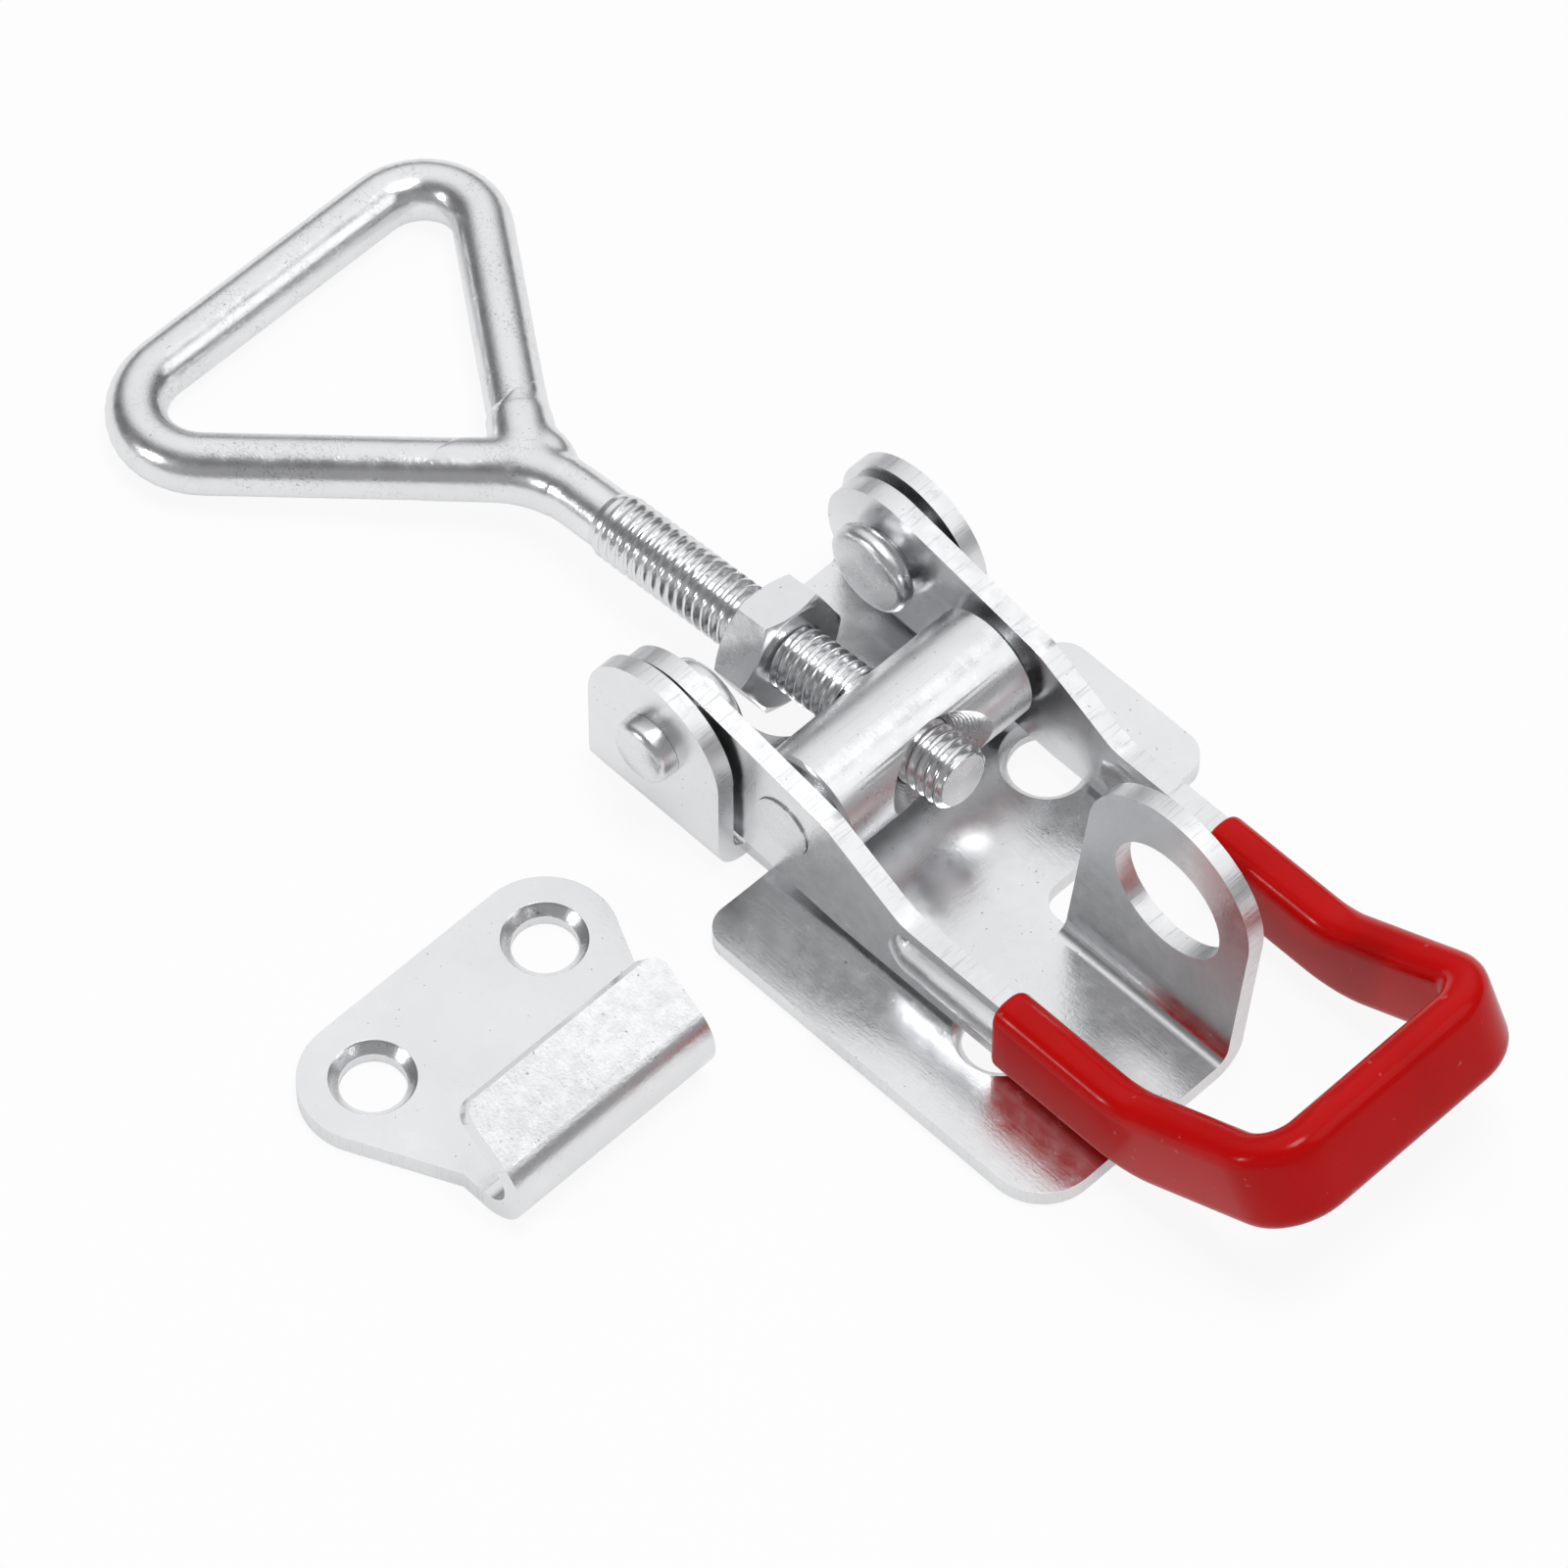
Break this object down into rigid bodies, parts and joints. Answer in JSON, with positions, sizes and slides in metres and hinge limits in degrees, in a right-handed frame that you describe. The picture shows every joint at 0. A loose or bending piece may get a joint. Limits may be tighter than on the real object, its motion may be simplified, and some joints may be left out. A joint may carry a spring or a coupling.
{
  "type": "adjustable draw latch with keeper",
  "caption": "Over-centre draw latch with an adjustable wire loop, red gripped lever, padlock tab and separate hook keeper.",
  "frame": {"origin": "on the mounting face, on the centre line, midway between the two screw holes of the base", "axes": "+X from the loop to the handle, +Z away from the mounting face, +Y towards the front screw hole"},
  "size_m": [0.1344, 0.0774, 0.0273],
  "materials": {
    "zinc_plated_steel": "bright zinc plate with fine pits and scratches",
    "red_vinyl": "glossy dipped vinyl"
  },
  "bodies": {
    "mounting": {"base_plate": "zinc_plated_steel", "pivot_rivet_left": "zinc_plated_steel", "pivot_rivet_right": "zinc_plated_steel", "keeper": "zinc_plated_steel"},
    "lever_assembly": {"lever": "zinc_plated_steel", "grip_sleeve": "red_vinyl"},
    "trunnion": {"trunnion": "zinc_plated_steel"},
    "lock_nut": {"lock_nut": "zinc_plated_steel"},
    "draw_bolt": {"draw_bolt": "zinc_plated_steel"}
  },
  "joints": [
    {"name": "lever_swing", "type": "hinge", "parent": "mounting", "child": "lever_assembly", "pos_m": [-0.02735, 0, 0.011], "axis": [0, -1, 0], "range_deg": [0, 150]},
    {"name": "trunnion_turn", "type": "hinge", "parent": "lever_assembly", "child": "trunnion", "pos_m": [-0.01465, 0, 0.00995], "axis": [0, -1, 0], "range_deg": [-150, 0]},
    {"name": "reach_adjust", "type": "slide", "parent": "trunnion", "child": "lock_nut", "axis": [0.9952, 0, 0.0982], "range_m": [-0.003, 0.004]},
    {"name": "loop_turn", "type": "hinge", "parent": "lock_nut", "child": "draw_bolt", "pos_m": [-0.02908, 0, 0.00853], "axis": [0.9952, 0, 0.0982], "range_deg": [-1080, 1440]}
  ],
  "couplings": [
    {"joint": "trunnion_turn", "follows": "lever_swing", "ratio": -1},
    {"joint": "loop_turn", "follows": "reach_adjust", "rad_per_m": 6283.1}
  ]
}
